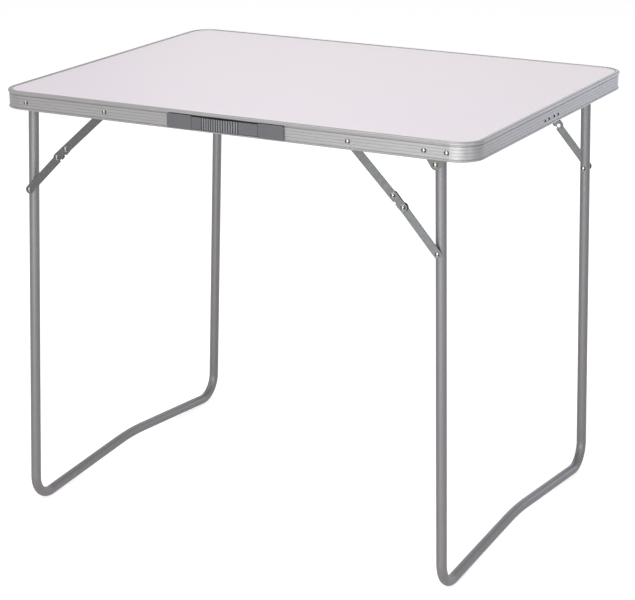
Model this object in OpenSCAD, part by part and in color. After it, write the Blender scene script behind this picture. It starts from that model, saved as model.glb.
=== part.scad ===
// Folding camping table: laminated board in a bent aluminium edge frame,
// two U-shaped tube legs that fold under the top, four jointed flat braces
// and a carrying strap on the front edge.
// X runs along the long side, Y across, Z up from the floor.

/* [Top] */
// Length of the top, along X
table_l = 800; // [790:5:1000]
// Width of the top, along Y
table_w = 600; // [540:10:800]
// Height of the lip above the floor
table_h = 690; // [560:5:695]
// Outer radius of the frame's bent corners
corner_r = 38; // [26:1:60]
// Thickness of the laminated board
board_t = 3; // [2.4:0.1:3.6]
// How far the board's face lies below the lip
board_sink = 1; // [0.8:0.1:1.2]

/* [Edge profile] */
// Height of the aluminium edge profile
profile_h = 29; // [27:0.5:34]
// Wall of the profile's upright web
web_wall = 1.2; // [1:0.1:1.6]
// How far the web stands back from the outer line of the lip
web_inset = 2; // [1.8:0.1:2.4]
// Width of the rounded lip over the board's edge
lip_w = 7; // [6:0.1:8]
// Width of the ledge under the board
ledge_w = 7.3; // [5:0.1:9]
// Number of raised bands on the web
web_bands = 4; // [2:1:5]
// Height of a band above the web
band_h = 0.35; // [0.1:0.05:0.5]

/* [Legs] */
// Outer diameter of the leg tube
tube_d = 16; // [14:0.5:16]
// Wall of the leg tube
tube_wall = 1; // [0.8:0.1:1.5]
// How much wider each side of a leg stands at the foot than at the hinge
leg_spread = 4.8; // [0:0.2:5]
// Outward lean of the open left leg, in degrees
left_splay = 2.3; // [0:0.05:3]
// Outward lean of the open right leg, in degrees
right_splay = 1.25; // [0:0.05:3]
// Centre-line radius of the bend at each foot
foot_r = 38; // [28:1:60]
// Slope of each half of the foot rail, in degrees
rail_angle = 4.5; // [0.5:0.1:6]
// Centre-line radius of the soft bend in the middle of the rail
rail_bend_r = 450; // [200:10:800]
// How much the tube draws in where it is bent
bend_draw = 0.06; // [0.04:0.01:0.2]
// Tube left beyond the hinge
tube_end = 8; // [7:0.5:8]

/* [Hinges] */
// Distance between the bend of a corner and the hinge bracket
bracket_room = 0.2; // [0.2:0.1:6]
// How much nearer to its end of the table the left hinge stands than the
// right one
hinge_shift = 9; // [0:0.5:12]
// How far the rivets in the web lie below the lip
rivet_drop = 16.6; // [15.5:0.1:17.5]
// How far the lower hinge lies below the lip
low_hinge_drop = 35.5; // [35:0.1:38]
// Diameter of the hinge rivets
hinge_pin_d = 5; // [4:0.5:6]
// Outer diameter of the hinge spacers
spacer_d = 9; // [8:0.5:11]
// Thickness of the hinge bracket
bracket_t = 1.5; // [1:0.1:1.8]
// Distance between the two rivets of a bracket
bracket_pitch = 34.8; // [30:0.2:38]
// Radius of the bracket's lobe round the hinge
bracket_r = 8; // [7:0.1:8.5]
// Radius of the bracket's corners round its rivets
bracket_corner_r = 3.9; // [3.5:0.1:5]

/* [Braces] */
// Upper link, from the frame rivet to the knee
link_upper = 100; // [92:1:104]
// Lower link, from the knee to the leg rivet
link_lower = 104; // [96:1:108]
// Width of both links
link_w = 13; // [12:0.5:15]
// Thickness of both links
link_t = 1.3; // [1.1:0.1:1.4]
// How far the open knee stands past the straight line
knee_over = 3; // [1:0.5:5]
// Distance from the knee to the stop stud
stop_dist = 22.5; // [20:0.5:26]
// Radius of the relief notch between the knee and the stop
notch_r = 2.4; // [1.5:0.1:3]
// Room between the web and the upper link, for the rivet heads
web_room = 1.6; // [1.6:0.1:2]
// Room between the two links, for the flat heads
link_room = 1.8; // [1.6:0.1:2]
// Room between the lower link and the tube at the hinge
tube_room = 4.9; // [4.8:0.1:6]

/* [Rivets] */
// Diameter of the rivets in the braces, brackets and splice
pin_d = 4; // [3:0.5:4.5]
// Diameter of the domed heads
head_d = 8; // [7:0.5:9]
// Height of the domed heads
head_h = 1.5; // [1.2:0.1:1.5]
// Height of the flat heads on the inner ends
tail_h = 0.5; // [0.4:0.1:0.6]
// Depth of the knee rivet's head, which is set flush so that the other leg
// can pass the knee
sink_depth = 0.9; // [0.6:0.1:1]
// Play all round a rivet in its hole
pin_play = 0.08; // [0.04:0.01:0.1]

/* [Splice] */
// Length of the plate behind the joint in the frame
splice_l = 70; // [66:1:90]
// Height of the splice plate
splice_h = 15; // [12:1:17]
// Distance of the inner pair of rivets from the joint
splice_near = 10; // [8:0.5:14]
// Distance of the outer pair of rivets from the joint
splice_far = 25.5; // [22:0.5:30]
// Place of the joint along the right end, from the middle
joint_y = -13; // [-40:1:40]
// Width of the butt joint in the frame
joint_gap = 0.3; // [0.1:0.1:0.6]

/* [Handle] */
// Overall length of the handle
handle_l = 196.6; // [180:0.2:220]
// Middle of the handle, right of the middle of the table
handle_x = 4; // [-10:1:10]
// Height of the handle's end caps
handle_h = 21.4; // [19:0.1:21.6]
// Length of each end cap
cap_l = 41.8; // [36:0.2:46]
// Wall of the end caps over the strap
cap_wall = 0.8; // [0.8:0.1:1.3]
// Thickness of the strap
strap_t = 1.4; // [1.2:0.1:2]
// How far the middle of the strap bows out
strap_bow = 2.4; // [0:0.1:3]
// Travel of the strap in its caps
strap_travel = 16; // [8:1:20]
// Number of grip ribs on the strap
rib_count = 15; // [5:1:19]
// Distance between neighbouring grip ribs
rib_pitch = 4.1; // [3:0.1:4.4]

/* [Hidden] */
$fn = 48;

// The play between pieces that slide or lie against each other.
gap = 0.3;
slide_gap = 0.1;

// The edge profile, from the lip down.
lip_t = board_sink + 0.2;
ledge_t = 1.2;
board_low = board_sink + board_t;
web_out = table_w / 2 - web_inset;
web_in = web_out - web_wall;
lip_round = 3;
lip_inner_round = 1.9;
lip_under_round = 1.6;
lip_edge = 0.2;
groove_top = lip_round + 2.2;
groove_depth = 0.4;
groove_w = 1.6;
groove_slope = 0.4;
band_start = groove_top + groove_w;
bead_r = 1.7;
bead_inset = web_inset + 0.3;
bead_mid = profile_h - bead_r;
bead_neck = 1.8;
band_end = bead_mid - bead_neck - 0.3;
band_pitch = (band_end - band_start) / web_bands;
band_gap = 0.6;
fold_u = web_inset + web_wall;

// The board's edge under the lip.
board_play = 0.2;
face_inset = lip_w + 0.1;

// The layers of a brace, outwards from the middle of the table.
upper_out = web_in - web_room;
upper_in = upper_out - link_t;
lower_out = upper_in - link_room;
lower_in = lower_out - link_t;
tube_out = lower_in - tube_room;
leg_y = tube_out - tube_d / 2;
washer_d = 10;
tail_wider = 2.6;
leg_head_h = 1.1;
low_head_h = link_room - tail_h - slide_gap - gap;
low_head_d = 7;
bush_d = 10;
stop_pin_d = pin_d;
hook_lobe = 0.8;
cone_lap = 0.3;
notch_share = 0.43;

// Where the hinges and the braces lie, by how far the hinge is below the
// rivets in the web: 0 on the left, low_step on the right. A brace folds flat
// when its lower link lies along the folded leg.
low_step = low_hinge_drop - rivet_drop;
bracket_x = table_l / 2 - corner_r - bracket_room - bracket_corner_r - bracket_pitch / 2;
function hinge_x(step) = step == 0 ? bracket_x + hinge_shift : bracket_x;
function splay(step) = step == 0 ? left_splay : right_splay;
open_span = sqrt(link_upper ^ 2 - knee_over ^ 2) + sqrt(link_lower ^ 2 - knee_over ^ 2);
function fold_offset(step) = link_lower - sqrt(link_upper ^ 2 - step ^ 2);
function leg_hole(step) =
    let (e = fold_offset(step))
    let (a = 2 + 2 * sin(splay(step)))
    let (b = 2 * (e * (1 + sin(splay(step))) + step * cos(splay(step))))
    let (c = e ^ 2 + step ^ 2 - open_span ^ 2)
    (sqrt(b ^ 2 - 4 * a * c) - b) / (2 * a);
function brace_x(step) = hinge_x(step) - leg_hole(step) - fold_offset(step);
function hinge_z(step) = table_h - rivet_drop - step;
function hinge_point(step) = [hinge_x(step), hinge_z(step)];
function brace_point(step) = [brace_x(step), table_h - rivet_drop];
function leg_point(step) =
    hinge_point(step) + leg_hole(step) * [sin(splay(step)), -cos(splay(step))];
function span_angle(step) =
    let (d = leg_point(step) - brace_point(step)) atan2(d[1], d[0]);
function upper_angle(step) = span_angle(step) + asin(knee_over / link_upper);
function lower_angle(step) = span_angle(step) - asin(knee_over / link_lower);
function knee_point(step) =
    brace_point(step) + link_upper * [cos(upper_angle(step)), sin(upper_angle(step))];
knee_bend = asin(knee_over / link_upper) + asin(knee_over / link_lower);

// How far a straight stretch of tube runs on into a bend.
bend_lap = 0.5;

// The centre line of a leg, in the plane of the leg, down from the hinge.
function foot_depth(step) = (hinge_z(step) - tube_d / 2 + bend_draw) / cos(splay(step));
function lean(step) = atan(leg_spread / foot_depth(step));
function bend_v(step) = foot_depth(step) - foot_r;
function bend_y(step) = leg_y + bend_v(step) * tan(lean(step)) - foot_r / cos(lean(step));
function rail_mid_v(step) =
    bend_v(step) + foot_r / cos(rail_angle) - bend_y(step) * tan(rail_angle);

// The handle's layers, outwards from the web.
cap_in = web_out + band_h;
strap_in = cap_in + slide_gap;
strap_out = strap_in + strap_t;
cap_out = strap_out + slide_gap + cap_wall;
bead_out = table_w / 2 - bead_inset + bead_r;
cap_edge = 1.5;
cap_block = 9;
cap_corner_r = 2.5;
cap_pin_reach = 1.2;
cap_mouth = handle_l / 2 - cap_l;
handle_top = table_h - groove_top - groove_slope;
handle_mid_z = handle_top - handle_h / 2;
strap_x = handle_x - strap_travel / 2;
strap_end = handle_l / 2 - cap_block - strap_travel / 2 - gap;
bow_half = cap_mouth - strap_travel / 2 - slide_gap;
strap_h = handle_h - 2 * cap_edge - 2 * gap;
rib_cut = 0.7;
rib_slot = 1.6;
cap_pin_d = 3.2;
splice_wall = 1.5;
splice_z = table_h - rivet_drop - 2;
splice_head_d = 6.5;

// A piece made for the right rear corner is mirrored to the other corners.
module corner(left, front) {
    mirror([left ? 1 : 0, 0, 0])
        mirror([0, front ? 1 : 0, 0])
            children();
}

// A piece of a brace or hinge, placed at a point of the X-Z plane.
module at(p) {
    translate([p[0], 0, p[1]])
        children();
}

// A round bar along Y, from one depth to another.
module bar(from, to, d) {
    translate([0, from, 0])
        rotate([-90, 0, 0])
            cylinder(h = to - from, d = d);
}

// A ring along Y, such as a washer or a spacer.
module ring(from, to, outer, hole) {
    difference() {
        bar(from, to, outer);
        bar(from - 1, to + 1, hole);
    }
}

// A domed head standing outwards from a face.
module dome(face, d, h) {
    ball_r = (d ^ 2 / 4 + h ^ 2) / (2 * h);
    intersection() {
        translate([0, face + h - ball_r, 0])
            sphere(r = ball_r, $fn = 120);
        bar(face, face + h + 1, d);
    }
}

// A rivet with its dome outside and a flat head inside.
module rivet(inner, outer, d, dome_d, dome_h) {
    bar(inner, outer, d);
    dome(outer, dome_d, dome_h);
    bar(inner - tail_h, inner, d + tail_wider);
}

// A cone along Y whose sides slope at 45 degrees and reach a given diameter
// at the sink's depth: a head set flush, or the hole for it.
module flush_cone(inner, past, d) {
    rise = sink_depth + cone_lap;
    translate([0, inner - past, 0])
        rotate([-90, 0, 0])
            cylinder(h = past + rise, d1 = d + 2 * (sink_depth + past), d2 = d - 2 * cone_lap);
}

// Points of an arc in the profile, as inset and depth.
function arc(u, v, r, from, to, steps) =
    [for (i = [0:steps]) let (t = from + (to - from) * i / steps)
        [u + r * cos(t), v - r * sin(t)]];

// Section of the edge frame: rounded lip, groove, banded web, bottom bead,
// and the slot that holds the board above a ledge.
function band(i) =
    let (v = band_start + i * band_pitch)
    [[web_inset, v + band_gap / 2],
     [web_inset - band_h, v + band_gap],
     [web_inset - band_h, v + band_pitch - band_gap],
     [web_inset, v + band_pitch - band_gap / 2]];
profile_points = concat(
    [[lip_w - lip_edge, lip_t]],
    arc(lip_w - lip_inner_round, lip_inner_round, lip_inner_round, 30, 90, 4),
    arc(lip_round, lip_round, lip_round, 90, 180, 6),
    arc(lip_under_round, groove_top - lip_under_round, lip_under_round, 180, 270, 4),
    [[web_inset + groove_depth, groove_top],
     [web_inset + groove_depth, band_start - groove_slope],
     [web_inset, band_start]],
    [for (i = [0:web_bands - 1]) each band(i)],
    [[web_inset, bead_mid - bead_neck]],
    arc(bead_inset, bead_mid, bead_r, 135, 270, 6),
    [[fold_u, profile_h],
     [fold_u, board_low + ledge_t],
     [fold_u + ledge_w, board_low + ledge_t],
     [fold_u + ledge_w, board_low],
     [fold_u, board_low],
     [fold_u, lip_t]]
);

// The section as it stands on the outside of a corner.
module edge_section() {
    polygon([for (p = profile_points) [corner_r - p[0], -p[1]]]);
}

// One straight run and the bend that follows it, anticlockwise.
module edge_run(half_run, reach) {
    translate([-half_run, reach, table_h])
        rotate([90, 0, 90])
            linear_extrude(height = 2 * half_run)
                edge_section();
    translate([-half_run, reach, table_h])
        rotate([0, 0, 90])
            rotate_extrude(angle = 90)
                edge_section();
}

// Holes through the web for every rivet of one corner.
module web_holes(step) {
    at(brace_point(step))
        bar(web_in - 1, table_w / 2 + 1, pin_d + 2 * pin_play);
    if (step == 0)
        at(hinge_point(step))
            bar(web_in - 1, table_w / 2 + 1, hinge_pin_d + 2 * pin_play);
    else
        for (side = [-1, 1])
            at([bracket_x + side * bracket_pitch / 2, table_h - rivet_drop])
                bar(web_in - 1, table_w / 2 + 1, pin_d + 2 * pin_play);
}

// Turns a piece made for the rear side to the joint at the right end.
module at_right_end() {
    translate([(table_l - table_w) / 2, joint_y, 0])
        rotate([0, 0, -90])
            children();
}

module edge_frame() {
    run_x = table_l / 2 - corner_r;
    run_y = table_w / 2 - corner_r;
    color("silver")
        difference() {
            union() {
                for (turn = [0, 180])
                    rotate([0, 0, turn])
                        edge_run(run_x, run_y);
                for (turn = [90, 270])
                    rotate([0, 0, turn])
                        edge_run(run_y, run_x);
            }
            for (front = [false, true]) {
                corner(true, front)
                    web_holes(0);
                corner(false, front)
                    web_holes(low_step);
            }
            at_right_end()
                splice_places()
                    bar(web_in - 1, table_w / 2 + 1, pin_d + 2 * pin_play);
            translate([table_l / 2 - 20, joint_y - joint_gap / 2, table_h - profile_h - 1])
                cube([30, joint_gap, profile_h + 2]);
            handle_pin_places()
                bar(web_in - 1, web_out + 1, cap_pin_d + 2 * pin_play);
        }
}

// A plate with the frame's rounded outline, inset from the lip.
module inset_plate(inset, low, high) {
    half_x = table_l / 2 - corner_r;
    half_y = table_w / 2 - corner_r;
    edge = corner_r - inset;
    translate([0, 0, low])
        linear_extrude(height = high - low)
            union() {
                square([2 * half_x, 2 * (half_y + edge)], center = true);
                square([2 * (half_x + edge), 2 * half_y], center = true);
                for (sx = [-1, 1])
                    for (sy = [-1, 1])
                        translate([sx * half_x, sy * half_y])
                            circle(r = edge);
            }
}

module top_board() {
    color("lavenderblush")
        union() {
            inset_plate(fold_u + board_play, table_h - board_low, table_h - lip_t);
            inset_plate(face_inset, table_h - board_low, table_h - board_sink);
        }
}

// The four rivet places of the splice, either side of the joint.
module splice_places() {
    for (side = [-1, 1])
        for (reach = [splice_near, splice_far])
            at([side * reach, splice_z])
                children();
}

module splice_plate() {
    color("gainsboro")
        at_right_end()
            difference() {
                translate([-splice_l / 2, web_in - splice_wall, splice_z - splice_h / 2])
                    cube([splice_l, splice_wall, splice_h]);
                splice_places()
                    bar(web_in - splice_wall - 1, web_in + 1, pin_d + 2 * pin_play);
            }
}

module splice_rivets() {
    color("whitesmoke")
        at_right_end()
            splice_places()
                rivet(web_in - splice_wall, web_out + band_h, pin_d, splice_head_d, head_h - band_h);
}

// Outline of the bracket: a lobe round the hinge and a corner round each
// rivet, joined by their tangents.
module bracket_outline() {
    half = bracket_pitch / 2;
    reach = [half, low_step];
    side = atan2(reach[1], reach[0]) - acos((bracket_r - bracket_corner_r) / norm(reach));
    out = [cos(side), sin(side)];
    for (s = [-1, 1])
        translate([s * half, low_step])
            circle(r = bracket_corner_r);
    circle(r = bracket_r);
    polygon([
        [-half, low_step + bracket_corner_r],
        [-half - bracket_corner_r * out[0], low_step + bracket_corner_r * out[1]],
        [-bracket_r * out[0], bracket_r * out[1]],
        [bracket_r * out[0], bracket_r * out[1]],
        [half + bracket_corner_r * out[0], low_step + bracket_corner_r * out[1]],
        [half, low_step + bracket_corner_r]
    ]);
}

module hinge_bracket(front) {
    color("darkgray")
        corner(false, front)
            difference() {
                at(hinge_point(low_step))
                    translate([0, web_in, 0])
                        rotate([90, 0, 0])
                            linear_extrude(height = bracket_t)
                                bracket_outline();
                at(hinge_point(low_step))
                    bar(web_in - bracket_t - 1, web_in + 1, hinge_pin_d + 2 * pin_play);
                for (side = [-1, 1])
                    at([bracket_x + side * bracket_pitch / 2, table_h - rivet_drop])
                        bar(web_in - bracket_t - 1, web_in + 1, pin_d + 2 * pin_play);
            }
}

module bracket_rivets() {
    color("whitesmoke")
        for (front = [false, true])
            corner(false, front)
                for (side = [-1, 1])
                    at([bracket_x + side * bracket_pitch / 2, table_h - rivet_drop])
                        rivet(web_in - bracket_t, web_out + band_h, pin_d, head_d, head_h - band_h);
}

// The inner face of the plate or web that a hinge rivet goes through.
function hinge_seat(step) = step == 0 ? web_in : web_in - bracket_t;
function hinge_face(step) = step == 0 ? web_out + band_h : web_in;

module hinge_rivet(step, left, front) {
    color("whitesmoke")
        corner(left, front)
            at(hinge_point(step))
                rivet(tube_out - tube_d - gap, hinge_face(step), hinge_pin_d, head_d, head_h - band_h);
}

module hinge_spacers(step, left) {
    color("dimgray")
        for (front = [false, true])
            corner(left, front)
                at(hinge_point(step))
                    ring(tube_out + gap, hinge_seat(step), spacer_d, hinge_pin_d + 2 * pin_play);
}

// Section of the leg tube.
module tube_section(d) {
    difference() {
        circle(d = d);
        circle(d = d - 2 * tube_wall);
    }
}

// A straight stretch of tube in the plane of a leg, which runs on a little
// into the bends at its ends.
module stretch(p, q, free = false) {
    d = q - p;
    lap = free ? 0 : bend_lap;
    translate([0, p[0], -p[1]])
        rotate([atan2(-d[0], -d[1]), 0, 0])
            translate([0, 0, -lap])
                linear_extrude(height = norm(d) + lap + bend_lap)
                    tube_section(tube_d);
}

// A bend of tube in the plane of a leg.
module bend(centre, radius, from, sweep) {
    translate([0, centre[0], -centre[1]])
        rotate([90, 0, 90])
            rotate([0, 0, from])
                rotate_extrude(angle = sweep)
                    translate([radius, 0])
                        tube_section(tube_d - 2 * bend_draw);
}

// The whole U of a leg, in the plane of the leg.
module leg_tube(step) {
    a = lean(step);
    b = rail_angle;
    foot = [bend_y(step), bend_v(step)];
    mid = [0, rail_mid_v(step) + rail_bend_r / cos(b)];
    for (rear = [0, 1])
        mirror([0, rear, 0]) {
            stretch([leg_y - tube_end * tan(a), -tube_end], foot + foot_r * [cos(a), -sin(a)], true);
            bend(foot, foot_r, -90 - b, 90 + a + b);
            stretch(foot + foot_r * [-sin(b), cos(b)], mid + rail_bend_r * [sin(b), -cos(b)]);
        }
    bend(mid, rail_bend_r, 90 - b, 2 * b);
}

// Puts a piece made in the plane of a leg at its place on the table.
module leg_place(step, left) {
    mirror([left ? 1 : 0, 0, 0])
        translate([hinge_x(step), 0, hinge_z(step)])
            rotate([0, -splay(step), 0])
                children();
}

module leg(step, left) {
    color("gray")
        difference() {
            leg_place(step, left)
                leg_tube(step);
            for (front = [false, true])
                corner(left, front) {
                    at(hinge_point(step))
                        bar(leg_y - tube_d, leg_y + tube_d, hinge_pin_d + 2 * pin_play);
                    at(leg_point(step))
                        bar(leg_y - tube_d, leg_y + tube_d, pin_d + 2 * pin_play);
                }
        }
}

// The outer line of the leg tube at the brace's hole.
function tube_at(step) = tube_out + leg_hole(step) * tan(lean(step));

module leg_bushes(step, left) {
    color("dimgray")
        for (front = [false, true])
            corner(left, front)
                at(leg_point(step))
                    ring(tube_at(step) + slide_gap, lower_in - gap, bush_d, pin_d + 2 * pin_play);
}

// The pin that holds the bush to the tube, with its head inside the leg.
module leg_pins(step, left) {
    inner = tube_at(step) - tube_d - slide_gap;
    color("whitesmoke")
        for (front = [false, true])
            corner(left, front)
                at(leg_point(step)) {
                    bar(inner, lower_in - gap, pin_d);
                    mirror([0, 1, 0])
                        dome(-inner, head_d, leg_head_h);
                }
}

module frame_rivet(step, left, front) {
    color("whitesmoke")
        corner(left, front)
            at(brace_point(step))
                rivet(upper_in - slide_gap, web_out + band_h, pin_d, head_d, head_h - band_h);
}

module frame_washers() {
    color("dimgray")
        for (front = [false, true])
            for (left = [false, true])
                corner(left, front)
                    at(brace_point(left ? 0 : low_step))
                        ring(upper_out + slide_gap, web_in, washer_d, pin_d + 2 * pin_play);
}

// A flat link made along X with one end at the origin, standing in the X-Z
// plane from a face inwards, then turned to its angle.
module link_place(p, angle, face) {
    at(p)
        rotate([0, -angle, 0])
            translate([0, face, 0])
                rotate([90, 0, 0])
                    linear_extrude(height = link_t)
                        children();
}

// Upper link: a strip that runs on past the knee to its stop stud.
module upper_link(step, left, front) {
    color("silver")
        corner(left, front)
            link_place(brace_point(step), upper_angle(step), upper_out)
                difference() {
                    union() {
                        circle(d = link_w);
                        translate([0, -link_w / 2])
                            square([link_upper + stop_dist, link_w]);
                        translate([link_upper + stop_dist, 0])
                            circle(d = link_w);
                    }
                    circle(d = pin_d + 2 * pin_play);
                    translate([link_upper, 0])
                        circle(d = pin_d + 2 * pin_play);
                    translate([link_upper + stop_dist, 0])
                        circle(d = stop_pin_d + 2 * pin_play);
                    translate([link_upper, 0])
                        relief_notch();
                }
}

// Lower link: its edge is hooked so that it comes to rest on the stop stud
// and swings free of it as the knee breaks.
module lower_link(step, left, front) {
    color("silver")
        corner(left, front)
            difference() {
                link_place(knee_point(step), lower_angle(step), lower_out)
                    lower_link_outline(stop_pin_d / 2 + slide_gap);
                at(knee_point(step))
                    flush_cone(lower_in, 1, pin_d + 2 * pin_play);
            }
}

module lower_link_outline(seat) {
    difference() {
        union() {
            circle(d = link_w);
            translate([0, -link_w / 2])
                square([link_lower, link_w]);
            translate([link_lower, 0])
                circle(d = link_w);
            rotate([0, 0, knee_bend])
                translate([stop_dist, 0])
                    circle(r = link_w / 2 + hook_lobe);
        }
        circle(d = pin_d + 2 * pin_play);
        translate([link_lower, 0])
            circle(d = pin_d + 2 * pin_play);
        rotate([0, 0, knee_bend])
            translate([stop_dist, 0])
                circle(r = seat);
        hook_slot(seat + slide_gap);
        rotate([0, 0, knee_bend])
            relief_notch();
    }
}

// Small notch in the inboard edge of a link, between the knee and the stop.
module relief_notch() {
    translate([stop_dist * notch_share, -link_w / 2])
        circle(r = notch_r);
}

// The slot that the stop stud leaves by, an arc about the knee.
module hook_slot(half) {
    wide = stop_dist + link_w;
    intersection() {
        difference() {
            circle(r = stop_dist + half);
            circle(r = stop_dist - half);
        }
        rotate([0, 0, knee_bend])
            translate([0, -wide])
                square([wide, wide]);
    }
}

module knee_rivet(step, left, front) {
    color("whitesmoke")
        corner(left, front)
            at(knee_point(step)) {
                flush_cone(lower_in, 0, pin_d);
                bar(lower_in, upper_out, pin_d);
                dome(upper_out, head_d, head_h);
            }
}

module knee_washer(step, left, front) {
    color("dimgray")
        corner(left, front)
            at(knee_point(step))
                ring(lower_out + slide_gap, upper_in, washer_d, pin_d + 2 * pin_play);
}

module stop_stud(step, left, front) {
    a = upper_angle(step);
    color("whitesmoke")
        corner(left, front)
            at(brace_point(step) + (link_upper + stop_dist) * [cos(a), sin(a)])
                rivet(lower_in - slide_gap, upper_out, stop_pin_d, head_d, head_h);
}

// The outer half of the rivet that ties the lower link to the leg.
module leg_rivet(step, left, front) {
    color("whitesmoke")
        corner(left, front)
            at(leg_point(step)) {
                bar(lower_in, lower_out, pin_d);
                dome(lower_out, low_head_d, low_head_h);
            }
}

// Faces the front edge of the table, with the handle's middle at X = 0.
module at_handle() {
    translate([handle_x, 0, handle_mid_z])
        mirror([0, 1, 0])
            children();
}

module handle_pin_places() {
    at_handle()
        for (side = [-1, 1])
            translate([side * (handle_l / 2 - cap_block / 2), 0, 0])
                children();
}

// End cap of the handle: a block riveted to the web and a sleeve in which
// the strap slides.
module handle_cap(side) {
    hollow_h = handle_h - 2 * cap_edge;
    bead_reach = handle_mid_z - (table_h - bead_mid + bead_r);
    color("dimgray")
        at_handle()
            mirror([side < 0 ? 1 : 0, 0, 0])
                difference() {
                    translate([cap_mouth, cap_in, 0])
                        rotate([-90, 0, 0])
                            linear_extrude(height = cap_out - cap_in)
                                cap_outline(cap_l, handle_h, cap_corner_r);
                    translate([cap_mouth - 1, cap_in - 1, -hollow_h / 2])
                        cube([cap_l - cap_block + 1, strap_out + slide_gap - cap_in + 1, hollow_h]);
                    translate([cap_mouth - 1, cap_in - 1, -handle_h])
                        cube([cap_l + 2, bead_out + slide_gap - cap_in + 1, handle_h - bead_reach]);
                    translate([handle_l / 2 - cap_block / 2, 0, 0])
                        bar(cap_in - 1, cap_in + cap_pin_reach, cap_pin_d + 2 * pin_play);
                }
}

// A rectangle from X = 0 with its two far corners rounded.
module cap_outline(l, h, r) {
    translate([0, -h / 2])
        square([l - r, h]);
    translate([0, r - h / 2])
        square([l, h - 2 * r]);
    for (s = [-1, 1])
        translate([l - r, s * (h / 2 - r)])
            circle(r = r);
}

module handle_cap_rivets() {
    color("whitesmoke")
        handle_pin_places() {
            bar(web_in, cap_in + cap_pin_reach, cap_pin_d);
            bar(web_in - tail_h, web_in, cap_pin_d + tail_wider);
        }
}

// Outline of the strap seen from above: straight tongues and a bowed middle.
strap_steps = 24;
function bow(x) = strap_bow * (1 + cos(180 * x / bow_half)) / 2;
function bow_line(face) =
    [for (i = [0:strap_steps]) let (x = bow_half * (2 * i / strap_steps - 1)) [x, face + bow(x)]];
function reversed(list) = [for (i = [len(list) - 1:-1:0]) list[i]];

module handle_strap() {
    color("gray")
        translate([strap_x - handle_x, 0, 0])
            at_handle()
                difference() {
                    translate([0, 0, -strap_h / 2])
                        linear_extrude(height = strap_h)
                            polygon(concat(
                                [[-strap_end, strap_in]],
                                bow_line(strap_in),
                                [[strap_end, strap_in], [strap_end, strap_out]],
                                reversed(bow_line(strap_out)),
                                [[-strap_end, strap_out]]
                            ));
                    for (i = [0:rib_count]) {
                        x = (i - rib_count / 2) * rib_pitch;
                        translate([x - rib_slot / 2, strap_out + bow(x) - rib_cut, -handle_h / 2])
                            cube([rib_slot, 3, handle_h]);
                    }
                }
}

top_board();
edge_frame();
splice_plate();
splice_rivets();
handle_cap(-1);  // handle_cap_left
handle_cap(1);  // handle_cap_right
handle_cap_rivets();
handle_strap();
hinge_bracket(true);  // hinge_bracket_front
hinge_bracket(false);  // hinge_bracket_rear
bracket_rivets();
leg(0, true);  // left_leg
leg(low_step, false);  // right_leg
hinge_rivet(0, true, true);  // left_hinge_rivet_front
hinge_rivet(0, true, false);  // left_hinge_rivet_rear
hinge_rivet(low_step, false, true);  // right_hinge_rivet_front
hinge_rivet(low_step, false, false);  // right_hinge_rivet_rear
hinge_spacers(0, true);  // left_hinge_spacers
hinge_spacers(low_step, false);  // right_hinge_spacers
leg_bushes(0, true);  // left_leg_bushes
leg_bushes(low_step, false);  // right_leg_bushes
leg_pins(0, true);  // left_leg_pins
leg_pins(low_step, false);  // right_leg_pins
frame_rivet(0, true, true);  // frame_rivet_left_front
frame_rivet(0, true, false);  // frame_rivet_left_rear
frame_rivet(low_step, false, true);  // frame_rivet_right_front
frame_rivet(low_step, false, false);  // frame_rivet_right_rear
frame_washers();
upper_link(0, true, true);  // upper_link_left_front
upper_link(0, true, false);  // upper_link_left_rear
upper_link(low_step, false, true);  // upper_link_right_front
upper_link(low_step, false, false);  // upper_link_right_rear
lower_link(0, true, true);  // lower_link_left_front
lower_link(0, true, false);  // lower_link_left_rear
lower_link(low_step, false, true);  // lower_link_right_front
lower_link(low_step, false, false);  // lower_link_right_rear
knee_rivet(0, true, true);  // knee_rivet_left_front
knee_rivet(0, true, false);  // knee_rivet_left_rear
knee_rivet(low_step, false, true);  // knee_rivet_right_front
knee_rivet(low_step, false, false);  // knee_rivet_right_rear
knee_washer(0, true, true);  // knee_washer_left_front
knee_washer(0, true, false);  // knee_washer_left_rear
knee_washer(low_step, false, true);  // knee_washer_right_front
knee_washer(low_step, false, false);  // knee_washer_right_rear
stop_stud(0, true, true);  // stop_stud_left_front
stop_stud(0, true, false);  // stop_stud_left_rear
stop_stud(low_step, false, true);  // stop_stud_right_front
stop_stud(low_step, false, false);  // stop_stud_right_rear
leg_rivet(0, true, true);  // leg_rivet_left_front
leg_rivet(0, true, false);  // leg_rivet_left_rear
leg_rivet(low_step, false, true);  // leg_rivet_right_front
leg_rivet(low_step, false, false);  // leg_rivet_right_rear
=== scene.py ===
"""Finishes and stage for a folding camping table.

The table's solids come packed, in metres, with the floor at Z = 0, the long
side along X and the carrying strap on the -Y side.
"""
import math

import bmesh
import bpy
from mathutils import Matrix, Vector

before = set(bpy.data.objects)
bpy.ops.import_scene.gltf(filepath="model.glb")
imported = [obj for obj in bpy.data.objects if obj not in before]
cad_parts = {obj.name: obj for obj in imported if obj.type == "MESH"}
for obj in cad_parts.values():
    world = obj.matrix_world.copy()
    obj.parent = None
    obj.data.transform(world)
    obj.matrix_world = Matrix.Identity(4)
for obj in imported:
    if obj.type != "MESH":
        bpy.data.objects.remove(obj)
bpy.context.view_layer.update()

bl_info = {
    "name": "Folding Camping Table",
    "version": (1, 0, 0),
    "blender": (4, 5, 0),
    "location": "View3D > Sidebar > Table",
    "description": "Finishes a folding camping table and sets it on a pale stage",
    "category": "Object",
}

MM = 0.001
WHITE = (1, 1, 1, 1)

# In millimetres, as a camera's lens is
SENSOR_WIDTH = 36

# The edge frame's corner and lip, seen from above
CORNER_RADIUS = 38 * MM
LIP_WIDTH = 7 * MM

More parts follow.
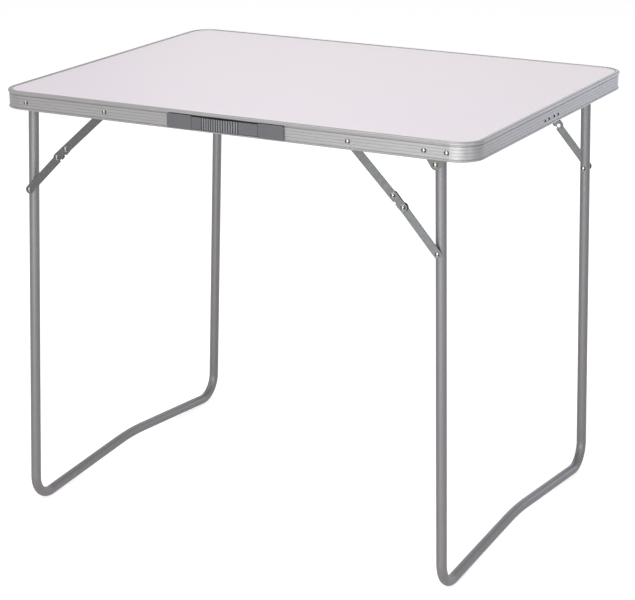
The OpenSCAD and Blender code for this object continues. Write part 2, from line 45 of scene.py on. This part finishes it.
# The handle's middle from the table's, and a cap's mouth from the handle's middle
HANDLE_X = 4 * MM
CAP_MOUTH = 56.5 * MM

# The strap lies at the left end of its travel; a slot lies on each side of each rib
STRAP_TRAVEL = 16 * MM
RIB_COUNT = 15
RIB_PITCH = 4.1 * MM
RIB_SLOT = 1.64 * MM

# Each lamp's name, place, point that it faces, width and height, watts and colour
LAMPS = (
    ("overhead", (-0.1, -0.9, 3.0), (0, 0, 0.5), (2.0, 2.0), 33, "#ffffff"),
    ("front", (0.7, -3.3, 0.35), (0.2, -0.3, 0.4), (3.2, 0.65), 52, "#ffffff"),
    ("left_warm", (-3.0, -1.2, 1.5), (0, 0, 0.5), (1.6, 2.2), 9, "#ffdce2"),
    ("right_cool", (2.75, -1.3, 1.0), (0, 0, 0.5), (0.4, 2.2), 16, "#e0e8ff"),
    ("rear_cool", (1.3, 3.0, 0.7), (0.3, 0, 0.6), (1.6, 1.2), 12, "#dbe4ff"),
    ("rear_left", (-1.3, 3.2, 1.7), (0, 0, 0.7), (2.0, 1.2), 9, "#ffffff"),
)


def linear(hex_colour):
    """Turns an sRGB hex colour into linear RGBA."""
    parts = [int(hex_colour[i:i + 2], 16) / 255 for i in (1, 3, 5)]
    line = [c / 12.92 if c <= 0.04045 else ((c + 0.055) / 1.055) ** 2.4 for c in parts]
    return (*line, 1.0)


def colour_property(name, description, hex_colour):
    """A colour that the user can change, given as sRGB hex."""
    return bpy.props.FloatVectorProperty(
        name=name, description=description, subtype="COLOR", size=4,
        min=0, max=1, default=linear(hex_colour))


def length_property(name, description, metres):
    """A length that the user can change."""
    return bpy.props.FloatProperty(
        name=name, description=description, subtype="DISTANCE", unit="LENGTH",
        min=0, default=metres, precision=5)


def angle_property(name, description, degrees):
    """An angle that the user can change."""
    return bpy.props.FloatProperty(
        name=name, description=description, subtype="ANGLE", default=math.radians(degrees))


class FinishSettings(bpy.types.PropertyGroup):
    """Colours and grain sizes of the table's finishes.

    The die lines, the pebble and the spark grain are drawn coarser than real ones, so that they show.
    """

    laminate: colour_property("Laminate", "Melamine face of the board", "#e8dfe6")
    aluminium: colour_property("Aluminium", "Satin anodised edge frame", "#979696")
    enamel: colour_property("Enamel", "Grey stoved enamel of the legs", "#777576")
    zinc: colour_property("Zinc", "Zinc plate of the brace links", "#67696a")
    bracket: colour_property("Bracket", "Dull plate of the hinge brackets", "#636460")
    bright: colour_property("Bright plate", "Nickel plate of the rivets", "#dddbd7")
    nylon: colour_property("Nylon", "Washers, spacers and bushes", "#4a4b4d")
    moulded: colour_property("Moulded plastic", "Strap and end caps", "#5d5e61")
    die_line: length_property("Die line", "Spacing of the lines that the die leaves", 0.9 * MM)
    orange_peel: length_property("Orange peel", "Size of the ripple in the enamel", 2.2 * MM)
    spangle: length_property("Spangle", "Size of a patch in the zinc plate", 5 * MM)
    pebble: length_property("Pebble", "Size of a grain in the laminate's face", 0.8 * MM)
    spark: length_property("Spark grain", "Size of a grain in the moulded plastic", 0.6 * MM)


class StageSettings(bpy.types.PropertyGroup):
    """Camera, room light and floor."""

    azimuth: angle_property("Azimuth", "Camera's turn round the table", 28.18)
    elevation: angle_property("Elevation", "Camera's height above the horizon", 17.63)
    roll: angle_property("Roll", "Camera's turn about its own line of sight", -0.14)
    place: bpy.props.FloatVectorProperty(
        name="Place", description="Where the camera stands", subtype="XYZ", unit="LENGTH",
        default=(1.5187, -2.8423, 1.3486))
    lens: bpy.props.FloatProperty(
        name="Lens", description="Focal length on a sensor 36 mm wide", unit="CAMERA",
        default=117.94)
    room_light: bpy.props.FloatProperty(
        name="Room light", description="How strongly the pale room lights the table",
        min=0, default=0.33)
    floor_size: length_property("Floor", "Width of the floor", 60)
    floor: colour_property("Floor colour", "Matt white floor", "#f4f4f4")
    floor_lift: bpy.props.FloatProperty(
        name="Floor lift", description="How much whiter the floor is seen than it is lit",
        min=0, default=0.66)


def add(tree, kind, settings=None, **inputs):
    """Adds a node with its settings, and fills or links its inputs.

    An input goes by its name, with _ for a space, or by its number, as in0.
    """
    node = tree.nodes.new(kind)
    for key, value in (settings or {}).items():
        setattr(node, key, value)
    for key, value in inputs.items():
        numbered = key.startswith("in") and key[2:].isdigit()
        socket = node.inputs[int(key[2:]) if numbered else key.replace("_", " ")]
        if isinstance(value, bpy.types.NodeSocket):
            tree.links.new(value, socket)
        else:
            socket.default_value = value
    return node


def emptied_tree(owner):
    """The node tree of a material or world, with nothing in it."""
    owner.use_nodes = True
    owner.node_tree.nodes.clear()
    return owner.node_tree


def new_material(name):
    """A material, its node tree, and the coordinates that its patterns read."""
    material = bpy.data.materials.new(name)
    tree = emptied_tree(material)
    return material, tree, add(tree, "ShaderNodeTexCoord").outputs


def surface(tree, **sockets):
    """Ends a material in a Principled shader, with these of its sockets filled."""
    shader = add(tree, "ShaderNodeBsdfPrincipled", **sockets)
    add(tree, "ShaderNodeOutputMaterial", Surface=shader.outputs[0])


def shade(colour, factor):
    """A colour made lighter or darker by a factor."""
    return tuple(min(1.0, c * factor) for c in colour[:3]) + (1.0,)


def spread(tree, noise, low, high):
    """Maps a noise, which lies mostly between 0.3 and 0.7, to a range."""
    return add(tree, "ShaderNodeMapRange", Value=noise, From_Min=0.3, From_Max=0.7,
               To_Min=low, To_Max=high).outputs[0]


def tint(tree, noise, dark, light):
    """A colour that wanders between two others with a noise."""
    return add(tree, "ShaderNodeMix", {"data_type": "RGBA"}, in0=spread(tree, noise, 0, 1),
               in6=dark, in7=light).outputs[2]


def painted(tree, colour, mask, over):
    """A colour with another painted over it where a mask is 1."""
    return add(tree, "ShaderNodeMix", {"data_type": "RGBA"}, in0=mask,
               in6=colour, in7=over).outputs[2]


def inside(tree, where, **spans):
    """A mask that is 1 in a box, given by its low and high limit along each axis, and 0 outside it."""
    place = add(tree, "ShaderNodeSeparateXYZ", Vector=where)
    mask = 1.0
    for axis, (low, high) in spans.items():
        near = add(tree, "ShaderNodeMath", {"operation": "COMPARE"}, in0=place.outputs[axis],
                   in1=(low + high) / 2, in2=(high - low) / 2).outputs[0]
        mask = add(tree, "ShaderNodeMath", {"operation": "MULTIPLY"}, in0=near, in1=mask).outputs[0]
    return mask


def anodised_aluminium(s):
    """Anodised aluminium, extruded: a satin metal with fine lines that the die drew along its length.

    The web is dark with shadow where it shows between the lip and the strap.
    """
    line_run = 167 * MM
    cloud_size = 111 * MM
    behind_strap = (HANDLE_X - 60 * MM, HANDLE_X + 60 * MM)
    front_web = (-299.9 * MM, -296.1 * MM)
    under_lip = (680 * MM, 685 * MM)
    material, tree, coordinates = new_material("anodised_aluminium")
    where = coordinates["Object"]
    drawn = add(tree, "ShaderNodeMapping", Vector=where,
                Scale=(1 / line_run, 1 / line_run, 1 / s.die_line)).outputs[0]
    lines = add(tree, "ShaderNodeTexNoise", Vector=drawn, Scale=1, Detail=2).outputs["Fac"]
    cloud = add(tree, "ShaderNodeTexNoise", Vector=where, Scale=1 / cloud_size, Detail=1).outputs["Fac"]
    metal = tint(tree, lines, shade(s.aluminium, 0.94), s.aluminium)
    shadow = inside(tree, where, X=behind_strap, Y=front_web, Z=under_lip)
    dullness = add(tree, "ShaderNodeMath", {"operation": "ADD"}, in0=spread(tree, lines, -0.04, 0.04),
                   in1=spread(tree, cloud, 0.42, 0.48)).outputs[0]
    relief = add(tree, "ShaderNodeBump", Height=lines, Distance=0.02 * MM, Strength=0.5).outputs[0]
    surface(tree, Base_Color=painted(tree, metal, shadow, shade(s.aluminium, 0.16)), Metallic=1,
            Roughness=dullness, Normal=relief)
    return material


def painted_shadow_by_lip(tree, where):
    """A mask for the narrow line of painted shadow that follows the lip round the board."""
    line_start = 1.6 * MM
    line_full = 0.4 * MM
    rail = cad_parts["edge_frame"].data.vertices
    corner = [max(vertex.co[axis] for vertex in rail) - CORNER_RADIUS for axis in (0, 1)]
    lip_radius = CORNER_RADIUS - LIP_WIDTH
    past_corner = where
    for operation, operand in (("MULTIPLY", (1, 1, 0)), ("ABSOLUTE", (0, 0, 0)),
                               ("SUBTRACT", (*corner, 0)), ("MAXIMUM", (0, 0, 0))):
        past_corner = add(tree, "ShaderNodeVectorMath", {"operation": operation},
                          in0=past_corner, in1=operand).outputs[0]
    reach = add(tree, "ShaderNodeVectorMath", {"operation": "LENGTH"}, in0=past_corner).outputs["Value"]
    return add(tree, "ShaderNodeMapRange", Value=reach, From_Min=lip_radius - line_start,
               From_Max=lip_radius - line_full).outputs[0]


def melamine_laminate(s):
    """Melamine laminate, pressed on a lightly pebbled plate: an even, faintly tinted white, softly sheened.

    A painted shadow darkens it in a narrow line along the lip.
    """
    cloud_size = 200 * MM
    material, tree, coordinates = new_material("melamine_laminate")
    where = coordinates["Object"]
    grain = add(tree, "ShaderNodeTexNoise", Vector=where, Scale=1 / s.pebble, Detail=2).outputs["Fac"]
    cloud = add(tree, "ShaderNodeTexNoise", Vector=where, Scale=1 / cloud_size, Detail=2).outputs["Fac"]
    face = tint(tree, cloud, shade(s.laminate, 0.985), s.laminate)
    relief = add(tree, "ShaderNodeBump", Height=grain, Distance=0.01 * MM, Strength=0.4).outputs[0]
    # The narrow dark line along the lip is painted shadow
    surface(tree, Base_Color=painted(tree, face, painted_shadow_by_lip(tree, where), shade(s.laminate, 0.3)),
            Roughness=spread(tree, grain, 0.42, 0.5), Normal=relief)
    return material


def stoved_enamel(s):
    """Grey enamel, sprayed and stoved on steel tube: a satin metallic grey with slight orange peel."""
    cloud_size = 33.3 * MM
    material, tree, coordinates = new_material("stoved_enamel")
    where = coordinates["Object"]
    peel = add(tree, "ShaderNodeTexNoise", Vector=where, Scale=1 / s.orange_peel, Detail=1).outputs["Fac"]
    cloud = add(tree, "ShaderNodeTexNoise", Vector=where, Scale=1 / cloud_size, Detail=2).outputs["Fac"]
    relief = add(tree, "ShaderNodeBump", Height=peel, Distance=0.015 * MM, Strength=0.3).outputs[0]
    surface(tree, Base_Color=tint(tree, cloud, shade(s.enamel, 0.95), s.enamel), Metallic=0.85,
            Roughness=spread(tree, cloud, 0.46, 0.5), Normal=relief)
    return material


def zinc_plate(s, colour, name):
    """Zinc plate on rolled steel: a dull grey metal, clouded in small patches.

    The lines of rolling run along each brace, and draw the gloss out across it.
    """
    material, tree, coordinates = new_material(name)
    where = coordinates["Object"]
    patches = add(tree, "ShaderNodeTexVoronoi", Vector=where, Scale=1 / s.spangle).outputs["Distance"]
    cloud = add(tree, "ShaderNodeTexNoise", Vector=where, Scale=1.3 / s.spangle, Detail=3).outputs["Fac"]
    mottle = add(tree, "ShaderNodeMix", {"data_type": "FLOAT"}, in0=0.25, in2=cloud, in3=patches).outputs[0]
    place = add(tree, "ShaderNodeSeparateXYZ", Vector=where)
    outboard = add(tree, "ShaderNodeMath", {"operation": "SIGN"}, in0=place.outputs["X"]).outputs[0]
    across = add(tree, "ShaderNodeCombineXYZ", X=outboard, Z=1).outputs[0]
    turned = add(tree, "ShaderNodeVectorTransform", {"vector_type": "VECTOR", "convert_from": "OBJECT",
                                                     "convert_to": "WORLD"}, Vector=across).outputs[0]
    metal = tint(tree, mottle, shade(colour, 0.82), shade(colour, 1.12))
    relief = add(tree, "ShaderNodeBump", Height=cloud, Distance=0.01 * MM, Strength=0.4).outputs[0]
    surface(tree, Base_Color=metal, Metallic=1, Roughness=spread(tree, cloud, 0.36, 0.44),
            Anisotropic=0.9, Tangent=turned, Normal=relief)
    return material


def bright_nickel(s):
    """Nickel plate on headed rivets, with a painted highlight on the crown and painted dark flanks.

    The crown faces the front or the back and a little up, and a flank faces a side. The ripple is
    drawn coarser than the real one, so that it shows.
    """
    ripple_size = 1.67 * MM
    material, tree, coordinates = new_material("bright_nickel")
    ripple = add(tree, "ShaderNodeTexNoise", Vector=coordinates["Object"], Scale=1 / ripple_size,
                 Detail=1).outputs["Fac"]
    unsigned = add(tree, "ShaderNodeVectorMath", {"operation": "ABSOLUTE"}, in0=coordinates["Normal"])
    facing = add(tree, "ShaderNodeSeparateXYZ", Vector=coordinates["Normal"])
    leaning = add(tree, "ShaderNodeSeparateXYZ", Vector=unsigned.outputs[0])
    raised = add(tree, "ShaderNodeMath", {"operation": "MULTIPLY_ADD"}, in0=facing.outputs["Z"], in1=0.2,
                 in2=leaning.outputs["Y"]).outputs[0]
    painted_highlight = add(tree, "ShaderNodeMapRange", Value=raised, From_Min=0.985, From_Max=1.012).outputs[0]
    sideways = add(tree, "ShaderNodeMapRange", Value=leaning.outputs["X"], From_Min=0.1, From_Max=0.24)
    level = add(tree, "ShaderNodeMapRange", Value=leaning.outputs["Z"], From_Min=0.5, From_Max=0.3)
    painted_dark_reflection = add(tree, "ShaderNodeMath", {"operation": "MULTIPLY"}, in0=sideways.outputs[0],
                in1=level.outputs[0]).outputs[0]
    plate = tint(tree, ripple, shade(s.bright, 0.45), shade(s.bright, 0.55))
    # A painted highlight on the crown, and a painted dark reflection on the flanks
    plate = painted(tree, plate, painted_highlight, shade(s.bright, 1.2))
    plate = painted(tree, plate, painted_dark_reflection, shade(s.bright, 0.05))
    relief = add(tree, "ShaderNodeBump", Height=ripple, Distance=0.02 * MM, Strength=0.3).outputs[0]
    surface(tree, Base_Color=plate, Metallic=1, Roughness=spread(tree, ripple, 0.08, 0.14), Normal=relief)
    return material


def turned_nylon(s):
    """Nylon, turned from rod: a dark, slightly waxy plastic.

    Its grain is coarser than real turning marks, so that it shows.
    """
    grain_size = 0.83 * MM
    material, tree, coordinates = new_material("turned_nylon")
    grain = add(tree, "ShaderNodeTexNoise", Vector=coordinates["Object"], Scale=1 / grain_size,
                Detail=1).outputs["Fac"]
    surface(tree, Base_Color=tint(tree, grain, shade(s.nylon, 0.9), s.nylon),
            Roughness=spread(tree, grain, 0.45, 0.55))
    return material


def painted_rib_light(s, tree, where, plastic):
    """The strap's plastic: painted highlight on rib crests, painted shade in slots and the right cap's
    mouth.
    """
    seam = 1.6 * MM
    strap_x = HANDLE_X - STRAP_TRAVEL / 2
    grip_half = (RIB_COUNT * RIB_PITCH + RIB_SLOT) / 2
    right_mouth = HANDLE_X + CAP_MOUTH
    grip = inside(tree, where, X=(strap_x - grip_half, strap_x + grip_half))
    mouth = inside(tree, where, X=(right_mouth - seam, right_mouth))
    place = add(tree, "ShaderNodeSeparateXYZ", Vector=where)
    in_pitch = add(tree, "ShaderNodeMath", {"operation": "WRAP"}, in0=place.outputs["X"],
                   in1=strap_x + RIB_PITCH, in2=strap_x).outputs[0]
    in_slot = add(tree, "ShaderNodeMath", {"operation": "COMPARE"}, in0=in_pitch,
                  in1=strap_x + RIB_PITCH / 2, in2=RIB_SLOT / 2).outputs[0]
    slots = add(tree, "ShaderNodeMath", {"operation": "MULTIPLY"}, in0=grip, in1=in_slot).outputs[0]
    # A painted highlight on the rib crests, then painted shade in the slots and in the right cap's mouth
    plastic = painted(tree, plastic, grip, shade(s.moulded, 1.75))
    for shadow in (slots, mouth):
        plastic = painted(tree, plastic, shadow, shade(s.moulded, 0.22))
    return plastic


def moulded_polypropylene(s, ribbed, name):
    """Polypropylene from a spark-eroded mould: a mid grey plastic with a fine even grain and a low sheen."""
    cloud_size = 25 * MM
    material, tree, coordinates = new_material(name)
    where = coordinates["Object"]
    grain = add(tree, "ShaderNodeTexNoise", Vector=where, Scale=1 / s.spark, Detail=2).outputs["Fac"]
    cloud = add(tree, "ShaderNodeTexNoise", Vector=where, Scale=1 / cloud_size, Detail=2).outputs["Fac"]
    plastic = tint(tree, cloud, shade(s.moulded, 0.94), s.moulded)
    # The ribbed strap also gets a painted highlight and painted shade
    if ribbed:
        plastic = painted_rib_light(s, tree, where, plastic)
    relief = add(tree, "ShaderNodeBump", Height=grain, Distance=0.03 * MM, Strength=0.5).outputs[0]
    surface(tree, Base_Color=plastic, Roughness=spread(tree, grain, 0.42, 0.54), Normal=relief)
    return material


def coat(material, takes):
    """Gives a material to every node of the table whose name takes it."""
    pieces = [piece for name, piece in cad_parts.items() if takes(name)]
    if not pieces:
        raise RuntimeError(f"nothing on the table takes {material.name}")
    for piece in pieces:
        for slot in piece.material_slots:
            slot.material = material


class TABLE_OT_board(bpy.types.Operator):
    """Finish the board"""

    bl_idname = "table.board"
    bl_label = "Board"

    def execute(self, context):
        coat(melamine_laminate(context.scene.table_finish), lambda name: name == "top_board")
        return {"FINISHED"}


class TABLE_OT_edge(bpy.types.Operator):
    """Finish the edge frame and the plate behind its joint"""

    bl_idname = "table.edge"
    bl_label = "Edge frame"

    def execute(self, context):
        coat(anodised_aluminium(context.scene.table_finish),
             lambda name: name in ("edge_frame", "splice_plate"))
        return {"FINISHED"}


class TABLE_OT_legs(bpy.types.Operator):
    """Finish the two tube legs"""

    bl_idname = "table.legs"
    bl_label = "Legs"

    def execute(self, context):
        coat(stoved_enamel(context.scene.table_finish), lambda name: name in ("left_leg", "right_leg"))
        return {"FINISHED"}


class TABLE_OT_braces(bpy.types.Operator):
    """Finish the links of the braces and the hinge brackets"""

    bl_idname = "table.braces"
    bl_label = "Braces and brackets"

    def execute(self, context):
        s = context.scene.table_finish
        coat(zinc_plate(s, s.zinc, "zinc_plated_strip"), lambda name: "_link_" in name)
        coat(zinc_plate(s, s.bracket, "dull_plated_bracket"),
             lambda name: name.startswith("hinge_bracket"))
        return {"FINISHED"}


class TABLE_OT_fasteners(bpy.types.Operator):
    """Finish the rivets, studs, washers, spacers and bushes"""

    bl_idname = "table.fasteners"
    bl_label = "Rivets and washers"

    def execute(self, context):
        s = context.scene.table_finish
        coat(bright_nickel(s), lambda name: "rivet" in name or "stud" in name or name.endswith("_pins"))
        coat(turned_nylon(s), lambda name: "washer" in name or "spacer" in name or "bush" in name)
        return {"FINISHED"}


class TABLE_OT_handle(bpy.types.Operator):
    """Finish the carrying strap and its end caps"""

    bl_idname = "table.handle"
    bl_label = "Handle"

    def execute(self, context):
        s = context.scene.table_finish
        coat(moulded_polypropylene(s, True, "ribbed_polypropylene"), lambda name: name == "handle_strap")
        coat(moulded_polypropylene(s, False, "moulded_polypropylene"),
             lambda name: name in ("handle_cap_left", "handle_cap_right"))
        return {"FINISHED"}


def seen_share(tree):
    """1 where the camera, a mirror or glass looks at a surface, and 0 where it only gives light."""
    ray = add(tree, "ShaderNodeLightPath").outputs
    seen = add(tree, "ShaderNodeMath", {"operation": "ADD"}, in0=ray["Is Camera Ray"],
               in1=ray["Is Glossy Ray"]).outputs[0]
    return add(tree, "ShaderNodeMath", {"operation": "ADD", "use_clamp": True}, in0=seen,
               in1=ray["Is Transmission Ray"]).outputs[0]


def pale_room(scene, level):
    """Puts the table in a room that is white where it is seen, and softer where it lights the table."""
    scene.world = bpy.data.worlds.new("pale_room")
    tree = emptied_tree(scene.world)
    seen = add(tree, "ShaderNodeBackground", Color=WHITE, Strength=1)
    lit = add(tree, "ShaderNodeBackground", Color=WHITE, Strength=level)
    mix = add(tree, "ShaderNodeMixShader", in0=seen_share(tree), in1=lit.outputs[0], in2=seen.outputs[0])
    add(tree, "ShaderNodeOutputWorld", Surface=mix.outputs[0])


def matt_white(colour, lift):
    """A matt white that is seen a little lighter than it is lit, so that only a soft shadow shows on it."""
    material = bpy.data.materials.new("matt_white_floor")
    tree = emptied_tree(material)
    matt = add(tree, "ShaderNodeBsdfDiffuse", Color=colour)
    glow = add(tree, "ShaderNodeEmission", Color=WHITE, Strength=lift)
    both = add(tree, "ShaderNodeAddShader", in0=matt.outputs[0], in1=glow.outputs[0])
    mix = add(tree, "ShaderNodeMixShader", in0=seen_share(tree), in1=matt.outputs[0], in2=both.outputs[0])
    add(tree, "ShaderNodeOutputMaterial", Surface=mix.outputs[0])
    return material


def floor_sheet(scene, s):
    """A square floor under the table."""
    mesh = bpy.data.meshes.new("floor")
    sheet = bmesh.new()
    bmesh.ops.create_grid(sheet, x_segments=1, y_segments=1, size=s.floor_size / 2)
    sheet.to_mesh(mesh)
    sheet.free()
    mesh.materials.append(matt_white(s.floor, s.floor_lift))
    ground = bpy.data.objects.new("floor", mesh)
    scene.collection.objects.link(ground)
    return ground


def soft_lamp(scene, name, place, aim, size, power, hex_colour):
    """A soft rectangular lamp that faces a point."""
    data = bpy.data.lights.new(name, "AREA")
    data.shape = "RECTANGLE"
    data.size, data.size_y = size
    data.energy = power
    data.color = linear(hex_colour)[:3]
    light = bpy.data.objects.new(name, data)
    light.visible_camera = False
    light.location = place
    light.rotation_euler = (Vector(aim) - Vector(place)).to_track_quat("-Z", "Y").to_euler()
    scene.collection.objects.link(light)


def still_camera(scene, s):
    """The camera, turned round the table, then up from the horizon, then about its line of sight."""
    data = bpy.data.cameras.new("camera")
    data.sensor_width = SENSOR_WIDTH
    data.lens = s.lens
    camera = bpy.data.objects.new("camera", data)
    level = Matrix.Rotation(s.azimuth, 4, "Z") @ Matrix.Rotation(math.pi / 2 - s.elevation, 4, "X")
    camera.matrix_world = Matrix.Translation(s.place) @ level @ Matrix.Rotation(s.roll, 4, "Z")
    scene.collection.objects.link(camera)
    scene.camera = camera


class TABLE_OT_stage(bpy.types.Operator):
    """Set the floor, the room, the lamps and the camera"""

    bl_idname = "table.stage"
    bl_label = "Stage"

    def execute(self, context):
        scene = context.scene
        ground = floor_sheet(scene, scene.table_stage)
        pale_room(scene, scene.table_stage.room_light)
        for lamp in LAMPS:
            soft_lamp(scene, *lamp)
        still_camera(scene, scene.table_stage)
        scene.view_settings.view_transform = "Standard"
        return {"FINISHED"}


class TABLE_PT_panel(bpy.types.Panel):
    """Buttons for each group of pieces, and their settings"""

    bl_idname = "TABLE_PT_panel"
    bl_label = "Camping Table"
    bl_space_type = "VIEW_3D"
    bl_region_type = "UI"
    bl_category = "Table"

    def draw(self, context):
        for operator in OPERATORS:
            self.layout.operator(operator.bl_idname)
        for group in (context.scene.table_finish, context.scene.table_stage):
            for key in group.__annotations__:
                self.layout.prop(group, key)


OPERATORS = (TABLE_OT_board, TABLE_OT_edge, TABLE_OT_legs, TABLE_OT_braces, TABLE_OT_fasteners,
             TABLE_OT_handle, TABLE_OT_stage)
CLASSES = (FinishSettings, StageSettings, *OPERATORS, TABLE_PT_panel)


def register():
    for cls in CLASSES:
        bpy.utils.register_class(cls)
    bpy.types.Scene.table_finish = bpy.props.PointerProperty(type=FinishSettings)
    bpy.types.Scene.table_stage = bpy.props.PointerProperty(type=StageSettings)


def unregister():
    del bpy.types.Scene.table_stage
    del bpy.types.Scene.table_finish
    for cls in reversed(CLASSES):
        bpy.utils.unregister_class(cls)


def main():
    """Finishes each group of pieces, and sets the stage."""
    register()
    bpy.ops.table.board()
    bpy.ops.table.edge()
    bpy.ops.table.legs()
    bpy.ops.table.braces()
    bpy.ops.table.fasteners()
    bpy.ops.table.handle()
    bpy.ops.table.stage()


if __name__ == "__main__":
    main()
